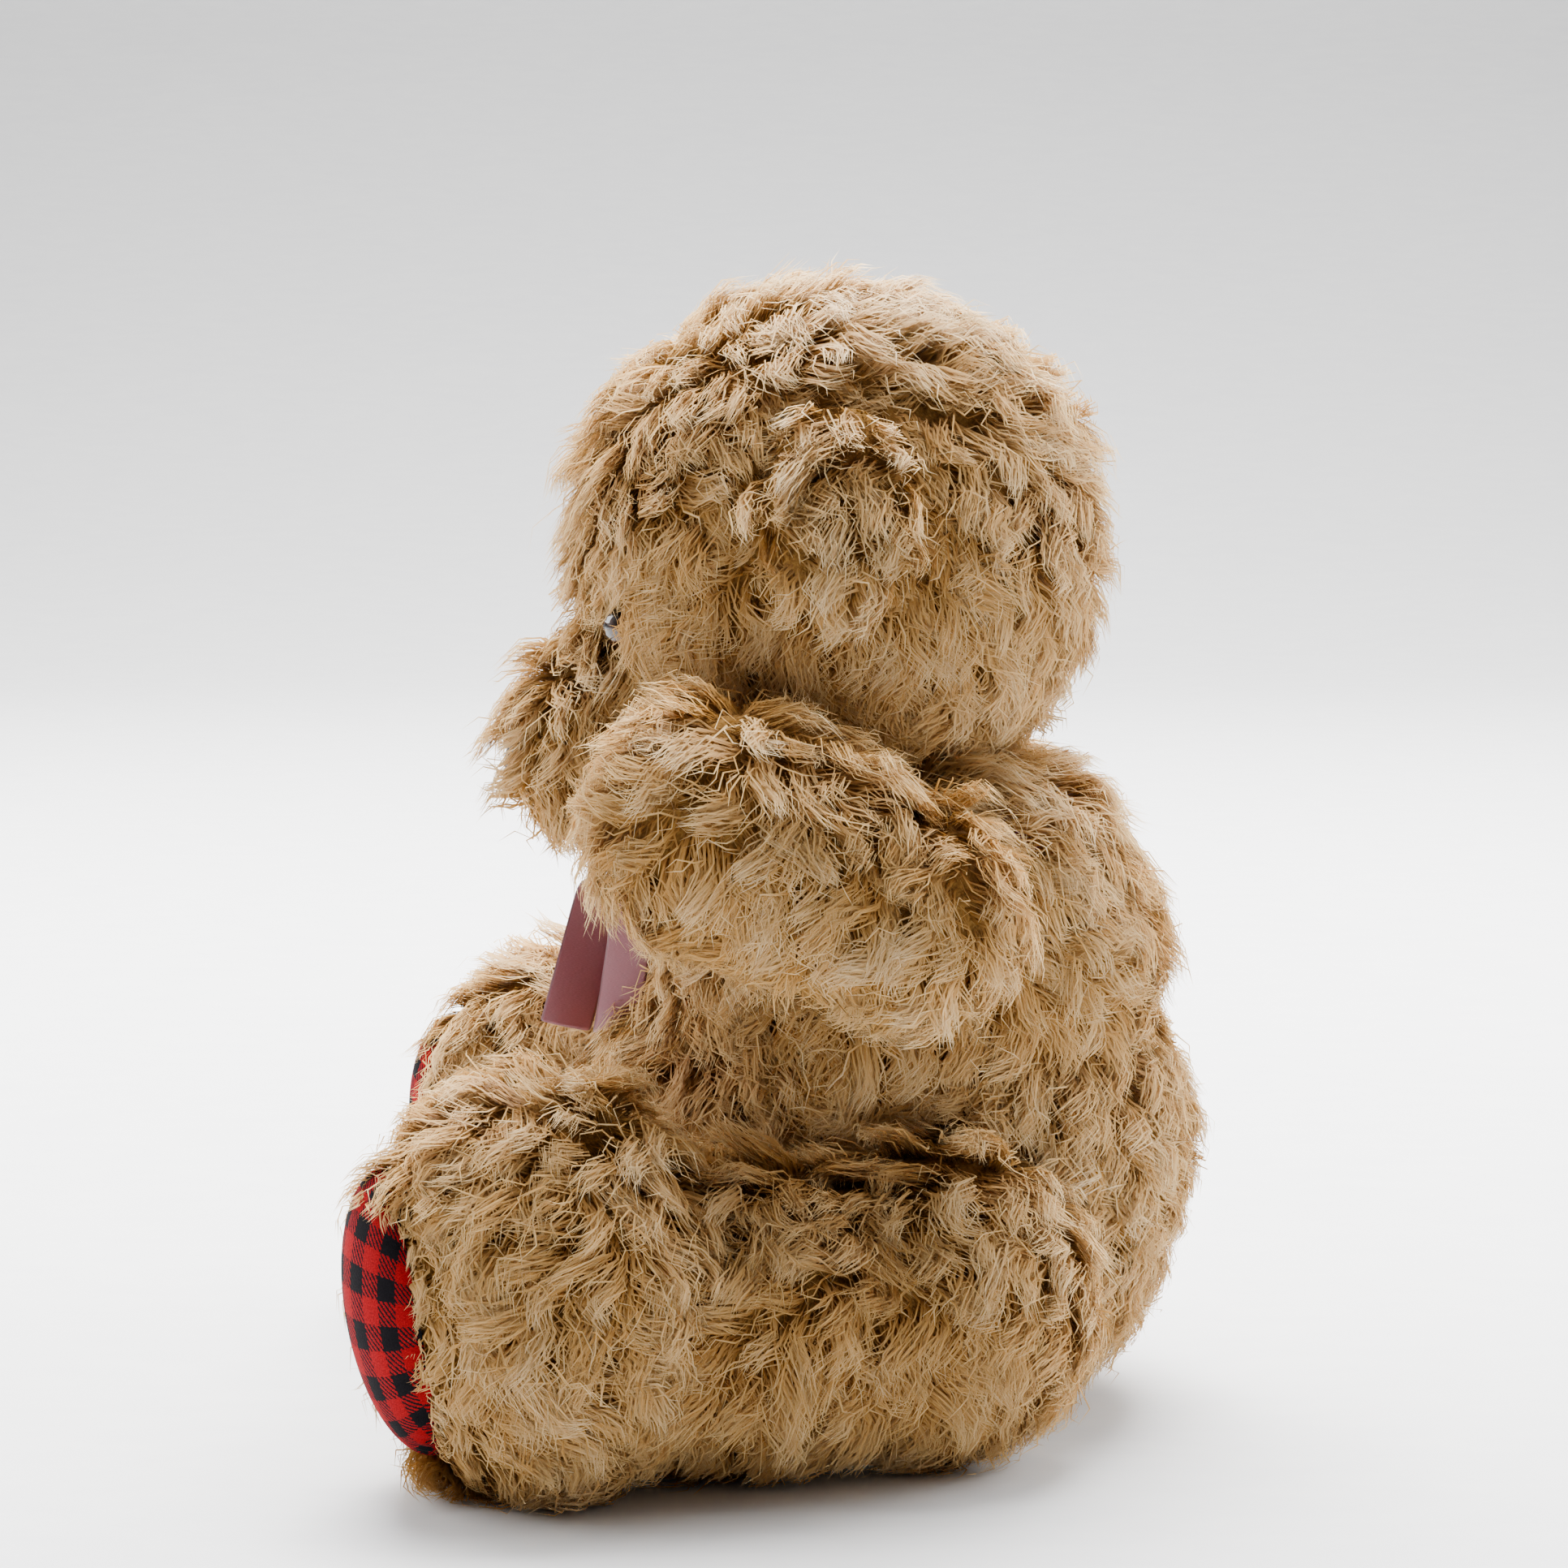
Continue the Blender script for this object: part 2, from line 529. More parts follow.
def grow(
    part, pieces, comb, seed, length=1.0, lift=0.6, curl=1.5, tone=0.0, bare=(), covers=None, clipped_by=()
):
    """Grows the pile of one bag.

    pieces maps each piece's name to which points it takes, and comb gives the way that the pile lies at
    points. bare is spots round the face's features, each its centre, its bald and full radii and how parted
    it is. covers says how long the pile is at points, as a share. clipped_by names bags that it is short
    beside."""
    rng = np.random.default_rng(seed)
    skin = skins[part]
    _, _, area = scatter(skin.data, 10, rng)
    count = int(area * MM2_PER_M2 * WISPS_PER_MM2)
    root, out, _ = scatter(skin.data, count, rng)
    if covers:
        covered = covers(root) > 0.0
        root, out = root[covered], out[covered]

    # Each lock has a guide, which holds how the lock lies. Where the comb points straight into the cloth,
    # as on the crown, the locks part and fall every way.
    guide = one_per_cell(root, LOCK_WIDE, rng)
    g_root, g_out = root[guide], out[guide]
    lay = comb(g_root, g_out)
    lay = lay - g_out * np.sum(lay * g_out, axis=1, keepdims=True)
    parting = 1.0 - smoothstep(np.linalg.norm(lay, axis=1), 0.1, 0.65)
    swirl = 0.75 * drift(g_root, 0.025, seed + 1) + rng.normal(0.0, 0.25, len(guide))
    lay = turned(unit(lay), g_out, swirl + parting * rng.normal(0.0, 0.5, len(guide)))
    g_long = PILE_LONG * length * rng.uniform(0.85, 1.12, len(guide))
    g_long *= 1.0 + 0.12 * drift(g_root, 0.03, seed + 2)
    g_lift = lift * rng.uniform(0.75, 1.25, len(guide)) * (1.0 + 0.35 * parting)

    # It lies flat and short where other bags leave it no room, and it parts round the bare spots.
    lifted_share, long_share = crowding(part, g_root, g_out, clipped_by)
    g_lift *= lifted_share
    g_long *= long_share
    if covers:
        g_long *= covers(g_root)
    for centre, bald, full, parted in bare:
        away = g_root - np.array(centre)
        far = np.linalg.norm(away, axis=1)
        g_long *= 0.12 + 0.88 * smoothstep(far, bald, full)
        g_long[far < bald] = 0.0
        near = 1.0 - smoothstep(far, bald, full + 0.01)
        away -= g_out * np.sum(away * g_out, axis=1, keepdims=True)
        lay = unit(lay + parted * near[:, None] * unit(away))
    g_side = np.cross(lay, g_out)
    g_wave = curl * rng.uniform(0.35, 0.95, len(guide))
    g_turns = rng.uniform(0.8, 1.5, len(guide))
    g_phase = rng.uniform(0.0, 2.0 * math.pi, len(guide))
    g_clump = rng.uniform(0.3, 0.75, len(guide))
    faded = 0.25 * smoothstep(g_root[:, 2], *FADED_ABOVE)
    g_tone = 0.5 + tone + faded + 0.14 * drift(g_root, 0.035, seed + 3) + rng.normal(0.0, 0.1, len(guide))

    # Each wisp belongs to the lock whose guide is nearest and shares its wave, apart from the strays.
    nearest = kdtree.KDTree(len(guide))
    for i, p in enumerate(g_root.tolist()):
        nearest.insert(p, i)
    nearest.balance()
    lock = np.array([nearest.find(p)[1] for p in root.tolist()])

    keep = g_long[lock] > SHORTEST
    root, lock = root[keep], lock[keep]
    n = len(root)
    stray = rng.random(n) < STRAY_SHARE
    long = g_long[lock] * rng.uniform(0.7, 1.08, n)
    wave = (g_wave[lock] * rng.uniform(0.8, 1.2, n))[:, None]
    phase = (g_phase[lock] + rng.normal(0.0, 0.35, n) + stray * rng.normal(0.0, 1.2, n))[:, None]
    turns = g_turns[lock][:, None]
    yaw = rng.normal(0.0, 0.09, n) + stray * rng.normal(0.0, 0.45, n)
    ahead = turned(lay[lock], g_out[lock], yaw)[:, None, :]
    up = g_out[lock][:, None, :]
    side = turned(g_side[lock], g_out[lock], yaw)[:, None, :]

    # A wisp's line goes up out of the cloth, leans over the way that it is combed, waves to and fro, and
    # closes on its guide towards the tip. None goes into the floor.
    s = np.linspace(0.0, 1.0, SEGMENTS + 1)
    middle = (s[:-1] + s[1:]) / 2.0
    swing = 2.0 * math.pi * turns * middle + phase
    growing = 0.3 + 0.9 * middle
    rise = (g_lift[lock] * rng.uniform(0.8, 1.25, n))[:, None] * (1.15 - middle) ** 1.2 - 0.12 * middle
    rise = rise + 0.45 * wave * np.cos(swing) * growing
    step = up * rise[:, :, None] + ahead * (0.45 + 0.5 * middle)[None, :, None]
    step = step + side * (wave * np.sin(swing) * growing)[:, :, None]
    step = unit(step) * (long / SEGMENTS)[:, None, None]
    path = np.concatenate([np.zeros((n, 1, 3)), np.cumsum(step, axis=1)], axis=1)
    gather = (g_clump[lock] * np.where(stray, 0.2, 1.0))[:, None] * s[None, :] ** 1.3
    path += root[:, None, :] - (root - g_root[lock])[:, None, :] * gather[:, :, None]
    path -= g_out[lock][:, None, :] * ROOT_SUNK
    path[:, :, 2] = np.maximum(path[:, :, 2], LIE_ON_FLOOR + 0.0015 * rng.random((n, 1)))

    # The wisp is a flat ribbon rolled a little about that line.
    heading = unit(np.gradient(path, axis=1))
    flat = unit(side - heading * np.sum(side * heading, axis=2, keepdims=True))
    upright = np.cross(heading, flat)
    roll = rng.uniform(-0.8, 0.8, n)[:, None, None]
    across = flat * np.cos(roll) + upright * np.sin(roll)
    facing = unit(0.6 * up - 0.5 * upright)
    width = WISP_WIDE * np.array(TAPER)[None, :, None] * rng.uniform(0.6, 1.15, n)[:, None, None]
    pair = np.stack([path - across * width / 2.0, path + across * width / 2.0], axis=2)
    verts = pair.reshape(n, 2 * (SEGMENTS + 1), 3)[:, :-1, :]
    u_mid = np.clip(g_tone[lock] + rng.normal(0.0, 0.1, n), 0.01, 0.99)[:, None]
    u_pair = np.concatenate([u_mid - 0.006, u_mid + 0.006], axis=1)
    uv_u = np.tile(u_pair, (1, SEGMENTS + 1))[:, :-1]
    uv_v = np.repeat(s, 2)[None, :-1].repeat(n, axis=0)
    uv_v = np.clip(uv_v * (long / long.max())[:, None] ** 0.25, 0.002, 0.998)
    uv = np.stack([uv_u, uv_v], axis=2)
    shading = np.repeat(facing, 2, axis=1)[:, :-1, :]

    for name, takes in pieces.items():
        mine = takes(g_root[lock])
        fur = mesh_object(name, wisp_mesh(name, verts[mine], uv[mine], shading[mine]), pile)
        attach(fur, skin["body"])


def falls(lean=(0.0, 0.0, 0.0)):
    """A comb that lets the pile hang, leaning a little one way."""
    return lambda place, out: DOWN + np.array(lean) * (1.0 + 2.5 * np.maximum(out[:, 2:], 0.0))


def everywhere(place):
    """Takes every point, for a bag whose pile is one piece."""
    return np.full(len(place), True)


eyes = {side: np.mean(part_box(f"eye_{side}"), axis=0) for side in SIDES}
nose_low, nose_high = (np.array(c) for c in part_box("nose_stitching"))
nose_middle = (nose_low + nose_high) / 2.0
mouth_low, mouth_high = (np.array(c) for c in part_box("mouth_stitching"))
mouth_middle = (mouth_low + mouth_high) / 2.0
SOLE_OUT = 0.005
SOLE_AHEAD = 0.155
SOLE_UP = 0.005
SOLE_TILT = math.radians(9.0)
BODY_SEAM = 0.012  # the plane through the body's side seams
MUZZLE_SEAM = -0.09
ANKLE = -0.07
hip_joints = {side: next(j for j in frame["joints"] if j["name"] == f"hip_{side}") for side in SIDES}


def leg_place(side):
    """The leg's own frame: at its hip joint, turned out by the joint's axis."""
    joint = hip_joints[side]
    splay = math.atan2(joint["axis"][1], joint["axis"][0])
    return Matrix.Translation(joint["pos_m"]) @ Matrix.Rotation(splay, 4, "Z")


def sole_place(side):
    """The frame of the sole's open rim: its -Y looks out of the foot."""
    at = Matrix.Translation((SIDES[side] * SOLE_OUT, -SOLE_AHEAD, SOLE_UP))
    return leg_place(side) @ at @ Matrix.Rotation(SOLE_TILT, 4, "X")


def rim_cover(side, place):
    """How far behind the sole's rim each point is, and how much pile hangs over the rim there, from 0 on the
    outer side to 1 on the inner side and the top."""
    back = np.array(sole_place(side).inverted())
    local = place @ back[:3, :3].T + back[:3, 3]
    inner = smoothstep(-SIDES[side] * local[:, 0], -0.012, 0.01)
    top = smoothstep(local[:, 2], 0.026, 0.042)
    return local[:, 1], np.maximum(inner, 0.6 * top)


def short_at_sole(side):
    """The share of the pile's length that is left near the sole's rim, and none in front of it."""

    def share(place):
        behind, cover = rim_cover(side, place)
        at_rim = 0.4 + 0.6 * cover
        return np.where(behind > 0.0, at_rim + (1.0 - at_rim) * smoothstep(behind, 0.0, 0.028), 0.0)

    return share


def combed_from_sole(side):
    """The leg's pile hangs, and near the sole it is brushed back, or forward over the rim's inner side."""
    ahead = np.array(sole_place(side))[:3, 1]

    def comb(place, out):
        behind, cover = rim_cover(side, place)
        lean = 0.7 - 0.95 * smoothstep(behind, 0.0, 0.045)
        lean -= 1.5 * cover * (1.0 - smoothstep(behind, 0.02, 0.05))
        return DOWN + ahead * lean[:, None]

    return comb


torso_quarters = {
    "torso_pile_front_left": lambda place: (place[:, 0] >= 0) & (place[:, 1] <= BODY_SEAM),
    "torso_pile_front_right": lambda place: (place[:, 0] < 0) & (place[:, 1] <= BODY_SEAM),
    "torso_pile_back_left": lambda place: (place[:, 0] >= 0) & (place[:, 1] > BODY_SEAM),
    "torso_pile_back_right": lambda place: (place[:, 0] < 0) & (place[:, 1] > BODY_SEAM),
}
grow("torso", torso_quarters, falls((0.0, 0.2, 0.0)), 11)
bare_face = [(eyes[side], 0.0065, 0.014, 0.6) for side in SIDES]
bare_face += [(nose_middle, 0.008, 0.017, 0.9), (mouth_middle, 0.004, 0.012, 0.9)]
grow(
    "head",
    {
        "head_pile_left": lambda place: (place[:, 0] >= 0) & (place[:, 1] > MUZZLE_SEAM),
        "head_pile_right": lambda place: (place[:, 0] < 0) & (place[:, 1] > MUZZLE_SEAM),
        "muzzle_pile": lambda place: place[:, 1] <= MUZZLE_SEAM,
    },
    falls((0.0, 0.25, 0.0)), 23, bare=bare_face, clipped_by=("ear_left", "ear_right"),
)
for side in SIDES:
    grow(f"ear_{side}", {f"ear_pile_{side}": everywhere}, falls(), 31, length=0.85, lift=0.75, tone=0.22)
    grow(f"arm_{side}", {f"arm_pile_{side}": everywhere}, falls((0.0, -0.1, 0.0)), 41, lift=0.55, length=0.95)
    grow(
        f"leg_{side}",
        {
            f"foot_pile_{side}": lambda place: place[:, 1] < ANKLE,
            f"thigh_pile_{side}": lambda place: place[:, 1] >= ANKLE,
        },
        combed_from_sole(side), 53, covers=short_at_sole(side),
    )


# Sole and paw pads. Brushed cotton flannel in a red and black buffalo check, cut oval, gathered a little at
# its edge and sewn into the open end of the foot, where the filling domes it.
SOLE_HALF_WIDE = 0.0272
SOLE_HALF_TALL = 0.0422
SOLE_DOME = 0.018
PAW_DOME = 0.0013
CLOTH_THICK = 0.0012
CHECK = 0.00635
TWILL = 0.0009
CLOTH_MAP = 0.12  # metres of cloth across the whole map
GATHERS = 44

# Brushed cotton: red and black yarn in bands of a quarter of an inch, solid where two bands of a colour
# cross and twill lines of both where they don't. The twill is drawn three times its real width, so that it
# shows, and the brushed fuzz frays the edges of the checks and dulls them.
flannel = new_material("buffalo_check_flannel")
cloth_at = add(flannel, "ShaderNodeUVMap", uv_map="OFBake").outputs["UV"]
fuzz = add(flannel, "ShaderNodeTexNoise", {"Vector": cloth_at, "Scale": 260.0, "Detail": 3.0})
in_checks = add(
    flannel, "ShaderNodeVectorMath", {0: cloth_at, 1: (CLOTH_MAP / CHECK,) * 3}, operation="MULTIPLY"
)
frayed = add(
    flannel, "ShaderNodeVectorMath", {0: fuzz.outputs["Color"], 1: (0.16,) * 3, 2: in_checks.outputs[0]},
    operation="MULTIPLY_ADD",
)
check_axes = add(flannel, "ShaderNodeSeparateXYZ", {"Vector": frayed.outputs[0]})
dark_bands = []
for axis in ("X", "Y"):
    pair = add(flannel, "ShaderNodeMath", {0: check_axes.outputs[axis], 1: 2.0}, operation="FLOORED_MODULO")
    dark_bands.append(add(flannel, "ShaderNodeMath", {0: pair.outputs[0], 1: 1.0}, operation="GREATER_THAN"))
both = add(
    flannel, "ShaderNodeMath", {0: dark_bands[0].outputs[0], 1: dark_bands[1].outputs[0]}, operation="ADD"
)
diagonal = add(
    flannel, "ShaderNodeMath", {0: check_axes.outputs["X"], 1: check_axes.outputs["Y"]}, operation="ADD"
)
lines = add(flannel, "ShaderNodeMath", {0: diagonal.outputs[0], 1: CHECK / TWILL / 2.0}, operation="MULTIPLY")
ribs = add(flannel, "ShaderNodeMath", {0: lines.outputs[0]}, operation="FRACT")
twill = add(flannel, "ShaderNodeMath", {0: ribs.outputs[0], 1: 0.5}, operation="GREATER_THAN")
blackness = add(flannel, "ShaderNodeMath", {0: both.outputs[0], 1: twill.outputs[0]}, operation="ADD")
black = add(flannel, "ShaderNodeMath", {0: blackness.outputs[0], 1: 1.5}, operation="GREATER_THAN")
yarns = add(
    flannel, "ShaderNodeMix", {"Factor": black.outputs[0], 6: linear("#9C0813"), 7: linear("#121115")},
    data_type="RGBA",
)
brushed = add(
    flannel, "ShaderNodeValToRGB", {"Fac": fuzz.outputs["Fac"]}, stops=[(0.3, "#A39A9A"), (0.7, "#FFFFFF")]
)
worn = add(
    flannel, "ShaderNodeMix", {"Factor": 1.0, 6: yarns.outputs[2], 7: brushed.outputs["Color"]},
    data_type="RGBA", blend_type="MULTIPLY",
)
nap = add(flannel, "ShaderNodeBump", {"Height": fuzz.outputs["Fac"], "Strength": 0.5, "Distance": 0.0006})
finish_material(
    flannel,
    {
        "Base Color": worn.outputs[2],
        "Roughness": 0.92,
        "Specular IOR Level": 0.08,
        "Normal": nap.outputs["Normal"],
    },
)


def pad(name, half_wide, half_tall, dome, place):
    """A domed oval of cloth whose edge is gathered: its flat is at y = 0 of the place's frame."""
    bm = bmesh.new()
    bmesh.ops.create_uvsphere(bm, u_segments=128, v_segments=64, radius=1.0)
    bmesh.ops.rotate(bm, verts=bm.verts, cent=(0, 0, 0), matrix=Matrix.Rotation(math.pi / 2, 3, "X"))
    everything = bm.verts[:] + bm.edges[:] + bm.faces[:]
    bmesh.ops.bisect_plane(bm, geom=everything, plane_co=(0, 0.05, 0), plane_no=(0, 1, 0), clear_outer=True)
    layer = bm.loops.layers.uv.new("OFBake")
    for face in bm.faces:
        for loop in face.loops:
            x, y, z = loop.vert.co
            off_middle = math.hypot(x, z)
            turn = math.acos(max(-1.0, min(1.0, -y))) / off_middle if off_middle > 1e-6 else 1.0
            loop[layer].uv = (
                0.5 + x * turn * (half_wide + dome) / 2.0 / CLOTH_MAP,
                0.5 + z * turn * (half_tall + dome) / 2.0 / CLOTH_MAP,
            )
    for vert in bm.verts:
        x, y, z = vert.co
        around_rim = math.atan2(z, x)
        gather = max(0.0, 1.0 + y / 0.45) if y > -0.45 else 0.0
        pucker = 1.0 + 0.012 * gather * math.cos(GATHERS * around_rim)
        vert.co = (x * half_wide * pucker, y * dome * pucker, z * half_tall * pucker)
    bmesh.ops.transform(bm, matrix=place, verts=bm.verts)
    obj = from_bmesh(name, bm, flannel)
    shell = obj.modifiers.new("cloth_thickness", "SOLIDIFY")
    shell.thickness = CLOTH_THICK
    shell.offset = -1.0
    return obj


for side, sign in SIDES.items():
    sole = pad(f"sole_cloth_{side}", SOLE_HALF_WIDE, SOLE_HALF_TALL, SOLE_DOME, sole_place(side))
    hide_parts(f"sole_pad_{side}")
    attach(sole, f"leg_{side}")
    paw_low, paw_high = (np.array(c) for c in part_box(f"paw_pad_{side}"))
    paw_radius = (paw_high[1] - paw_low[1]) / 2.0
    inwards = Matrix.Translation((paw_low + paw_high) / 2.0) @ Matrix.Rotation(-sign * math.pi / 2, 4, "Z")
    paw = pad(f"paw_cloth_{side}", paw_radius, paw_radius, PAW_DOME, inwards)
    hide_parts(f"paw_pad_{side}")
    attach(paw, f"arm_{side}")


# Eyes. Polished safety eyes of deep brown plastic with a black pupil, pushed through the cloth on a stem
# that a washer holds inside the head.
EYE_RING_MM = 8.0  # from the point of the dome to the end of the rings


def give_finish(node, material):
    """Puts a material on every face of a CAD node."""
    for place_slot in node.material_slots:
        place_slot.link = "OBJECT"
        place_slot.material = material


# Polished plastic: mirror-smooth, with a clear skin over a black pupil and a flecked brown ring, both
# centred on the point of the dome. The flecks are under a millimetre.
for side in SIDES:
    node = frame["nodes"][f"eye_{side}"]
    points = coords(node.data)
    head_middle = np.mean(coords(skins["head"].data), axis=0)
    apex = points[np.argmax(np.linalg.norm(points - head_middle, axis=1))]
    glass = new_material(f"polished_eye_plastic_{side}")
    spot = add(glass, "ShaderNodeTexCoord").outputs["Object"]
    from_apex = add(glass, "ShaderNodeVectorMath", {0: spot, 1: tuple(apex)}, operation="DISTANCE")
    flecks = add(glass, "ShaderNodeTexNoise", {"Vector": spot, "Scale": 1.4 * PER_MM, "Detail": 2.0})
    radius_mm = add(glass, "ShaderNodeMath", {0: from_apex.outputs["Value"], 1: PER_MM}, operation="MULTIPLY")
    wander = add(glass, "ShaderNodeMath", {0: flecks.outputs["Fac"], 1: 0.5}, operation="MULTIPLY")
    wandering = add(glass, "ShaderNodeMath", {0: radius_mm.outputs[0], 1: wander.outputs[0]}, operation="ADD")
    ring = add(glass, "ShaderNodeMath", {0: wandering.outputs[0], 1: EYE_RING_MM}, operation="DIVIDE")
    iris = add(
        glass, "ShaderNodeValToRGB", {"Fac": ring.outputs[0]},
        stops=[(0.0, "#060404"), (0.36, "#070505"), (0.42, "#3A1F10"), (0.62, "#2A150B"), (0.85, "#0C0705")],
    )
    finish_material(
        glass,
        {"Base Color": iris.outputs["Color"], "Roughness": 0.08, "Coat Weight": 0.6, "Coat Roughness": 0.03},
    )
    give_finish(node, glass)


# Nose and mouth. Pearl cotton worked over and over in upright satin stitch for the nose, with a straight
# stitch below it and one to each side for the mouth.
NOSE_THREAD_R = 0.00085
MOUTH_THREAD_R = 0.0008
STITCHES_EACH_SIDE = 8

# Pearl cotton: two plies twisted together, so slanting bands of sheen cross a soft black.
thread = new_material("pearl_cotton_thread")
lay_at = add(thread, "ShaderNodeTexCoord").outputs["Object"]
ply = add(
    thread, "ShaderNodeTexWave", {"Vector": lay_at, "Scale": 0.42 * PER_MM, "Distortion": 1.5},
    bands_direction="DIAGONAL",
)
twist = add(
    thread, "ShaderNodeValToRGB", {"Fac": ply.outputs["Fac"]}, stops=[(0.2, "#0B0A0A"), (0.8, "#2B2725")]
)
cabled = add(thread, "ShaderNodeBump", {"Height": ply.outputs["Fac"], "Strength": 0.7, "Distance": 0.0003})
finish_material(
    thread,
    {
        "Base Color": twist.outputs["Color"],
        "Roughness": 0.5,
        "Sheen Weight": 0.3,
        "Normal": cabled.outputs["Normal"],
    },
)
face_tree = tree_of(skins["head"])


def on_face(x, z, proud=0.0):
    """The point on the front of the head's cloth at this x and z, and a little proud of it."""
    hit, out, _, _ = face_tree.ray_cast((x, -0.5, z), (0.0, 1.0, 0.0))
    if hit is None:
        hit, out, _, _ = face_tree.find_nearest((x, float(nose_middle[1]), z))
    return hit + out * proud


def threads(name, lines, radius, node):
    """Straight stitches laid along lines of points on the cloth."""
    data = bpy.data.curves.new(name, "CURVE")
    data.dimensions = "3D"
    data.bevel_depth = radius
    data.bevel_resolution = 2
    data.use_fill_caps = True
    for line in lines:
        spline = data.splines.new("POLY")
        spline.points.add(len(line) - 1)
        for point, at in zip(spline.points, line):
            point.co = (*at, 1.0)
    curve = bpy.data.objects.new(name + "_line", data)
    scene.collection.objects.link(curve)
    mesh = bpy.data.meshes.new_from_object(curve.evaluated_get(bpy.context.evaluated_depsgraph_get()))
    bpy.data.objects.remove(curve)
    mesh.materials.clear()
    mesh.polygons.foreach_set("use_smooth", [True] * len(mesh.polygons))
    stitches = mesh_object(name, mesh, thread)
    stitches.data.name = name
    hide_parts(node)
    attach(stitches, "head")


half_nose = (nose_high - nose_low) / 2.0
nose_lines = []
for i in range(-STITCHES_EACH_SIDE, STITCHES_EACH_SIDE + 1):
    share = abs(i) / (STITCHES_EACH_SIDE + 0.5)
    x = i / (STITCHES_EACH_SIDE + 0.5) * half_nose[0]
    top_z = nose_middle[2] + half_nose[2] * (0.95 - 0.25 * share ** 2)
    low_z = nose_middle[2] - half_nose[2] * (0.95 - 1.25 * share ** 1.3)
    line = []
    for t in np.linspace(0.0, 1.0, 9):
        swell = 0.0006 + 0.0034 * math.sin(math.pi * t) ** 0.5 * (1.0 - share ** 2) ** 0.5
        line.append(on_face(x, top_z + (low_z - top_z) * t, swell))
    nose_lines.append(line)
threads("satin_stitched_nose", nose_lines, NOSE_THREAD_R, "nose_stitching")
seam_z = mouth_high[2] - (nose_high[2] - nose_low[2]) * 0.6
mouth_side = mouth_high[0] * 0.95
mouth_lines = [[on_face(0.0, z, MOUTH_THREAD_R) for z in np.linspace(mouth_high[2], seam_z, 6)]]
for sign in SIDES.values():
    mouth_lines.append([
        on_face(sign * mouth_side * t, seam_z + (mouth_low[2] + 0.001 - seam_z) * t ** 1.2, MOUTH_THREAD_R)
        for t in np.linspace(0.0, 1.0, 8)
    ])
threads("stitched_mouth", mouth_lines, MOUTH_THREAD_R, "mouth_stitching")


# Disc joints. Moulded polypropylene discs, posts and washers, with a plain milky moulded finish, that hold
# the head and limbs to the torso and the eyes to the head.
# The plastic flowed into a mould with a fine spark-eroded grit: faint flow marks, and a satin face.
milky = new_material("moulded_polypropylene")
body_at = add(milky, "ShaderNodeTexCoord").outputs["Object"]
flow = add(
    milky, "ShaderNodeTexNoise", {"Vector": body_at, "Scale": 0.09 * PER_MM, "Detail": 2.0, "Distortion": 1.0}
)
grit = add(milky, "ShaderNodeTexNoise", {"Vector": body_at, "Scale": 2.6 * PER_MM, "Detail": 1.0})
tint = add(
    milky, "ShaderNodeValToRGB", {"Fac": flow.outputs["Fac"]}, stops=[(0.3, "#D9D8D2"), (0.7, "#E6E5DF")]
)
eroded = add(milky, "ShaderNodeBump", {"Height": grit.outputs["Fac"], "Strength": 0.2, "Distance": 0.0001})
finish_material(
    milky, {"Base Color": tint.outputs["Color"], "Roughness": 0.45, "Normal": eroded.outputs["Normal"]}
)
for name, node in frame["nodes"].items():
    if "washer" in name or "joint_post" in name:
        give_finish(node, milky)


# Neck bow. Burgundy satin ribbon, 16 mm wide with woven edges, goes round the neck under the pile and is
# tied at the chest in a knot with two loops and two tails, whose ends are cut on the slant.
RIBBON_WIDE = 0.016
RIBBON_THICK = 0.0003
BAND_PROUD = 0.0012
BAND_POINTS = 96
BAND_INSET = 0.0006

# Polyester satin: long floats of warp run along the ribbon and give it a sheen across them, and each edge
# has a darker woven selvedge.
satin = new_material("woven_edge_satin")
strip = add(satin, "ShaderNodeUVMap", uv_map="OFBake").outputs["UV"]
strip_axes = add(satin, "ShaderNodeSeparateXYZ", {"Vector": strip})
stretched = add(satin, "ShaderNodeVectorMath", {0: strip, 1: (6.0, 240.0, 1.0)}, operation="MULTIPLY")
floats = add(satin, "ShaderNodeTexNoise", {"Vector": stretched.outputs[0], "Scale": 3.0, "Detail": 2.0})
gloss = add(
    satin, "ShaderNodeValToRGB", {"Fac": floats.outputs["Fac"]}, stops=[(0.3, "#6B2A36"), (0.7, "#83404B")]
)
off_middle = add(satin, "ShaderNodeMath", {0: strip_axes.outputs["X"], 1: 0.5}, operation="SUBTRACT")
to_edge = add(satin, "ShaderNodeMath", {0: off_middle.outputs[0]}, operation="ABSOLUTE")
edge_band = add(satin, "ShaderNodeMath", {0: to_edge.outputs[0], 1: 0.46}, operation="GREATER_THAN")
selvedge = add(
    satin, "ShaderNodeMix", {"Factor": edge_band.outputs[0], 6: gloss.outputs["Color"], 7: linear("#5A2029")},
    data_type="RGBA",
)
weft = add(satin, "ShaderNodeBump", {"Height": floats.outputs["Fac"], "Strength": 0.25, "Distance": 0.0002})
finish_material(
    satin,
    {
        "Base Color": selvedge.outputs[2],
        "Roughness": 0.38,
        "Anisotropic": 0.5,
        "Sheen Weight": 0.2,
        "Normal": weft.outputs["Normal"],
    },
)


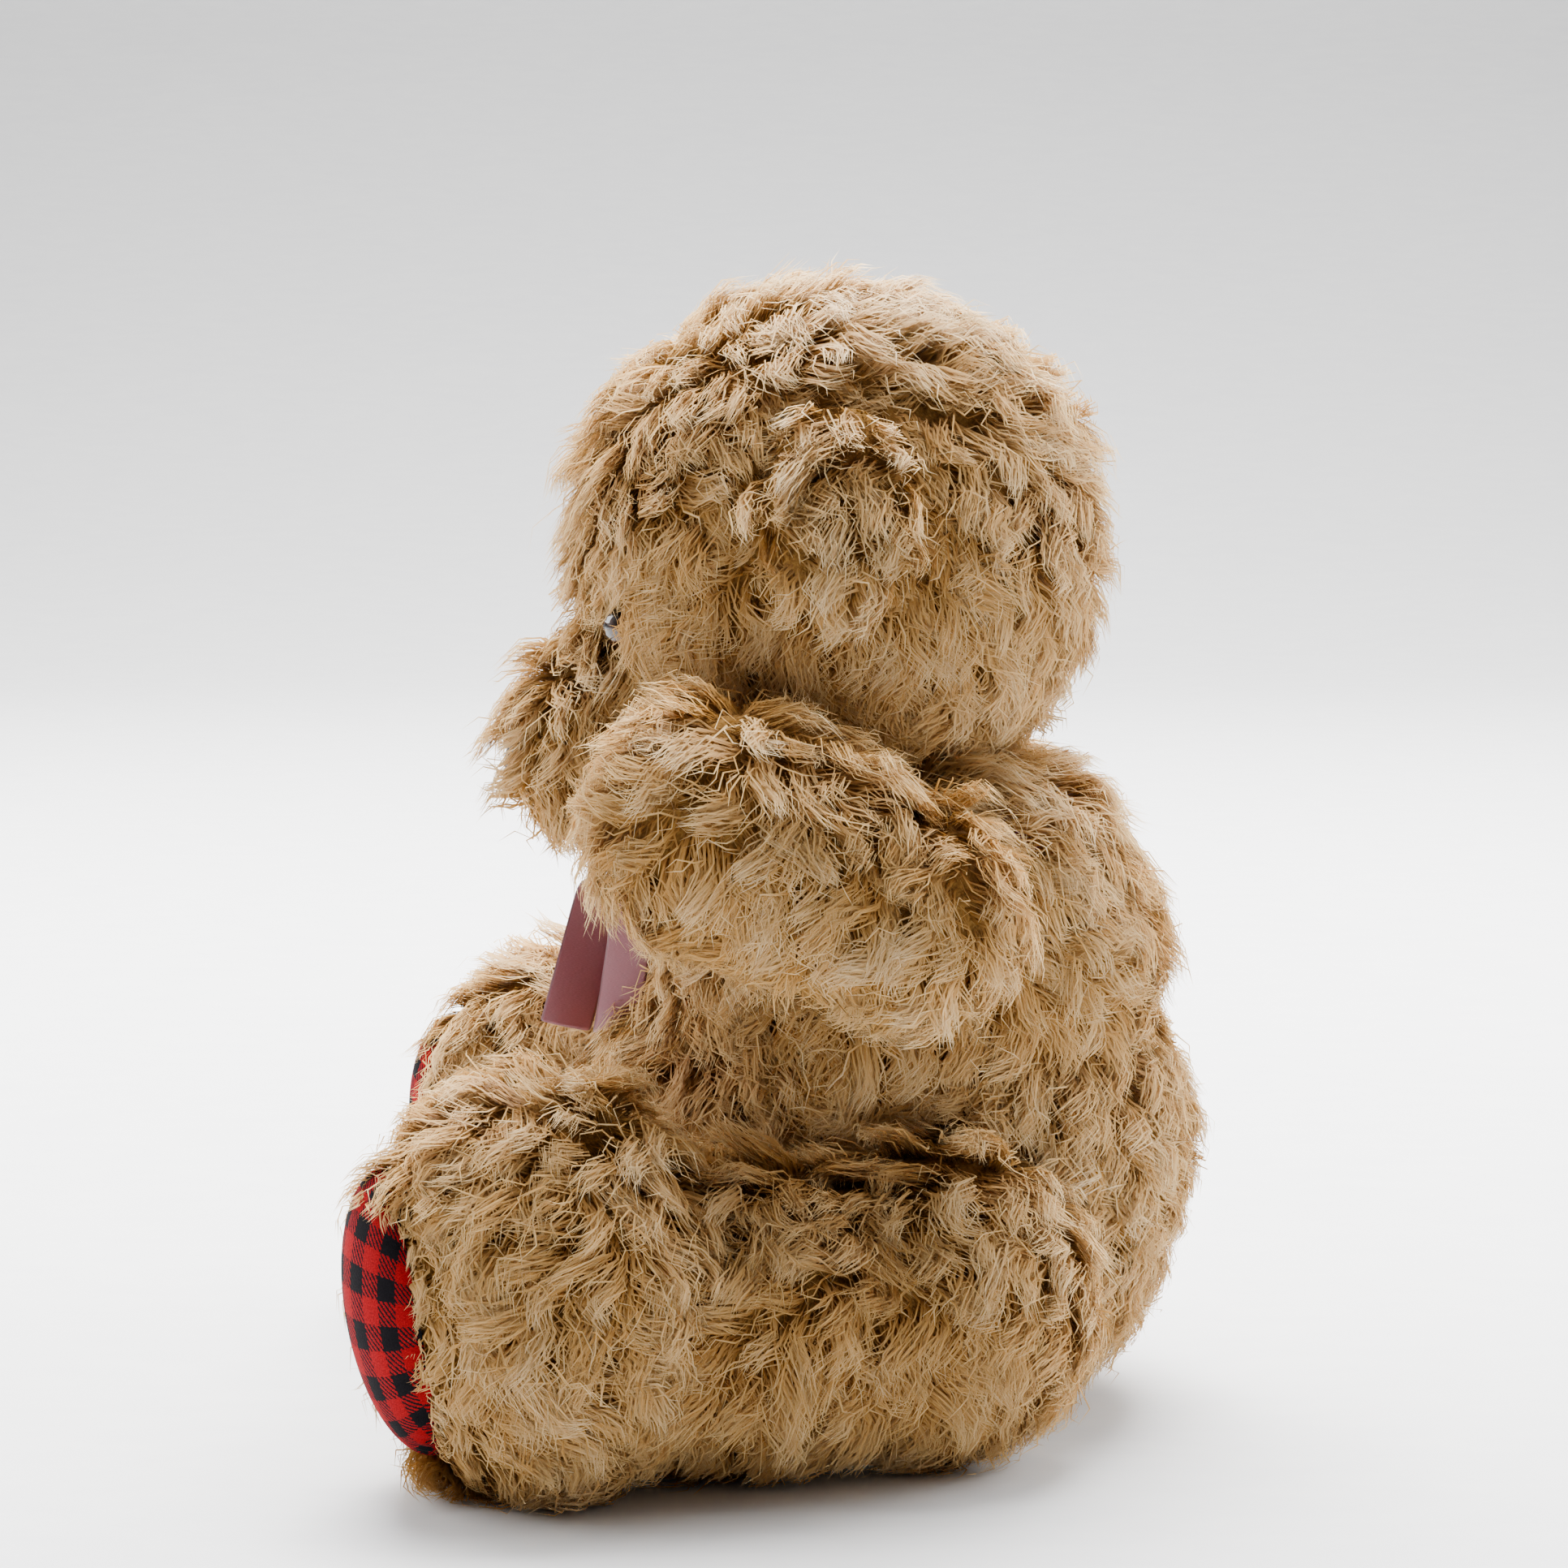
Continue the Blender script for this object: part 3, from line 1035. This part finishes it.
def ribbon(name, centre, across, node, closed=False, slant=0.0):
    """A strip of ribbon that stands for a CAD node: rows of vertices along its centre line, each laid out
    by that point's function of the place across, from -1 to 1. slant is how far its last edge is cut back."""
    columns = np.linspace(-1.0, 1.0, 9)
    bm = bmesh.new()
    layer = bm.loops.layers.uv.new("OFBake")
    rows = []
    count = len(centre)
    for i, (middle, half) in enumerate(zip(centre, across)):
        row = []
        for c in columns:
            point = middle + half(c)
            if slant and i == count - 1:
                point += (centre[-2] - middle).normalized() * slant * (c + 1.0) / 2.0
            row.append(bm.verts.new(point))
        rows.append(row)
    if closed:
        rows.append(rows[0])
    for i in range(len(rows) - 1):
        for j in range(len(columns) - 1):
            face = bm.faces.new((rows[i][j], rows[i][j + 1], rows[i + 1][j + 1], rows[i + 1][j]))
            spots = [(i, j), (i, j + 1), (i + 1, j + 1), (i + 1, j)]
            for loop, (a, b) in zip(face.loops, spots):
                loop[layer].uv = (b / (len(columns) - 1), a / (len(rows) - 1))
    obj = from_bmesh(name, bm, satin)
    smooth = obj.modifiers.new("smooth", "SUBSURF")
    smooth.levels = 1
    smooth.render_levels = 1
    thick = obj.modifiers.new("thickness", "SOLIDIFY")
    thick.thickness = RIBBON_THICK
    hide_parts(node)
    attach(obj, "torso")
    return obj


band_low, band_high = (np.array(c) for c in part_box("ribbon_neckband"))
band_front = (band_low[2] + RIBBON_WIDE / 2.0, band_low[1])
band_back = (band_high[2] - RIBBON_WIDE / 2.0, band_high[1])
body_tree = tree_of(skins["torso"])
band_middle, band_half = [], []
for angle in np.linspace(0.0, 2.0 * math.pi, BAND_POINTS, endpoint=False):
    way = Vector((math.sin(angle), -math.cos(angle), 0.0))
    share = (way.y + 1.0) / 2.0
    z = band_front[0] * (1.0 - share) + band_back[0] * share
    hit, out, _, _ = body_tree.ray_cast(way * 0.2 + Vector((0.0, 0.005, z)), -way)
    at = hit + way * BAND_PROUD
    at.x = max(-band_high[0] + BAND_INSET, min(band_high[0] - BAND_INSET, at.x))
    level = Vector((0.0, 0.0, 1.0))
    lean = (level - out * level.dot(out)).normalized() if abs(out.z) < 0.95 else level
    band_middle.append(at)
    band_half.append(lambda c, lean=lean: lean * (c * RIBBON_WIDE / 2.0))
neckband = ribbon("neck_ribbon", band_middle, band_half, "ribbon_neckband", closed=True)

knot_low, knot_high = (np.array(c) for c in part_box("ribbon_knot"))
knot_middle = Vector((knot_low + knot_high) / 2.0)
bm = bmesh.new()
bmesh.ops.create_uvsphere(bm, u_segments=64, v_segments=32, radius=1.0)
bmesh.ops.rotate(bm, verts=bm.verts, cent=(0, 0, 0), matrix=Matrix.Rotation(math.pi / 2, 3, "Y"))
knot_map = bm.loops.layers.uv.new("OFBake")
for face in bm.faces:
    for loop in face.loops:
        loop[knot_map].uv = (0.25 + 0.25 * (loop.vert.co.x + 1.0), 0.5 + 0.4 * loop.vert.co.z)
half_knot = (knot_high - knot_low) / 2.0
for vert in bm.verts:
    x, y, z = vert.co
    fold = 1.0 + 0.09 * math.cos(9.0 * x + 1.2 * z)
    square = 1.0 / max(abs(x), (y * y + z * z) ** 0.5) ** 0.45
    waist = 0.86 + 0.14 * x * x
    vert.co = (
        x * half_knot[0] * min(square, 1.15) * 0.82,
        y * half_knot[1] * fold * waist,
        z * half_knot[2] * fold * waist,
    )
bmesh.ops.translate(bm, verts=bm.verts, vec=knot_middle)
knot = from_bmesh("ribbon_tied_knot", bm, satin)
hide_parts("ribbon_knot")
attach(knot, "torso")

for side, sign in SIDES.items():
    loop_low, loop_high = (np.array(c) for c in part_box(f"ribbon_loop_{side}"))
    reach = (loop_high[0] if sign > 0 else -loop_low[0]) - 0.006
    deep = (loop_high[1] - loop_low[1]) / 2.0
    middle, half = [], []
    for t in np.linspace(0.0, 1.0, 49):
        out = math.sin(math.pi * t) ** 0.75
        x = sign * (0.005 + reach * out)
        y = knot_middle.y - deep * 1.05 * math.sin(2.0 * math.pi * t) * (0.35 + 0.65 * out)
        z = knot_middle.z - 0.006 * out ** 2 + 0.001 * math.sin(2.0 * math.pi * t)
        tall = RIBBON_WIDE * (0.45 + 0.55 * min(1.0, 1.15 * out))
        pleat = 0.0011 * (1.0 - (tall / RIBBON_WIDE)) / 0.55

        def bend(c, tall=tall, pleat=pleat):
            return Vector((0.0, pleat * math.cos(3.0 * math.pi * c + 0.4), c * tall / 2.0))

        middle.append(Vector((x, y, z)))
        half.append(bend)
    bow = ribbon(f"bow_loop_{side}", middle, half, f"ribbon_loop_{side}")

    tail_low, tail_high = (np.array(c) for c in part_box(f"ribbon_tail_{side}"))
    tail_x = (tail_low[0] + tail_high[0]) / 2.0
    top = Vector((tail_x * 0.6, tail_high[1] - 0.006, tail_high[2] + 0.004))
    end = Vector((tail_x, tail_low[1] + (0.013 if sign > 0 else 0.0085), tail_low[2] + 0.0015))
    last_turn = math.radians(62.0 if sign > 0 else 90.0)
    start = knot_middle + Vector((sign * 0.002, -0.001, -0.004))
    middle, half = [], []
    for t in np.linspace(0.0, 1.0, 25):
        first = start.lerp(top, min(1.0, t / 0.2)) if t < 0.2 else top.lerp(end, (t - 0.2) / 0.8)
        sway = Vector((sign * 0.0018 * math.sin(math.pi * t * 1.6), 0.0, 0.0))
        facing_turn = last_turn * smoothstep(np.array(t), -0.05, 0.35).item()
        wide = RIBBON_WIDE / 2.0 * (0.45 + 0.55 * min(1.0, t / 0.22))
        cross = Vector((math.cos(facing_turn), sign * math.sin(facing_turn), 0.12))
        cup = Vector((math.sin(facing_turn), -sign * math.cos(facing_turn), 0.0))

        def curve_across(c, cross=cross, cup=cup, wide=wide, t=t):
            return cross * (c * wide) + cup * (0.0012 * c * c * math.cos(3.0 * t))

        middle.append(first + sway)
        half.append(curve_across)
    slant = 0.006 if sign > 0 else 0.0015
    tail = ribbon(f"bow_tail_{side}", middle, half, f"ribbon_tail_{side}", slant=slant)
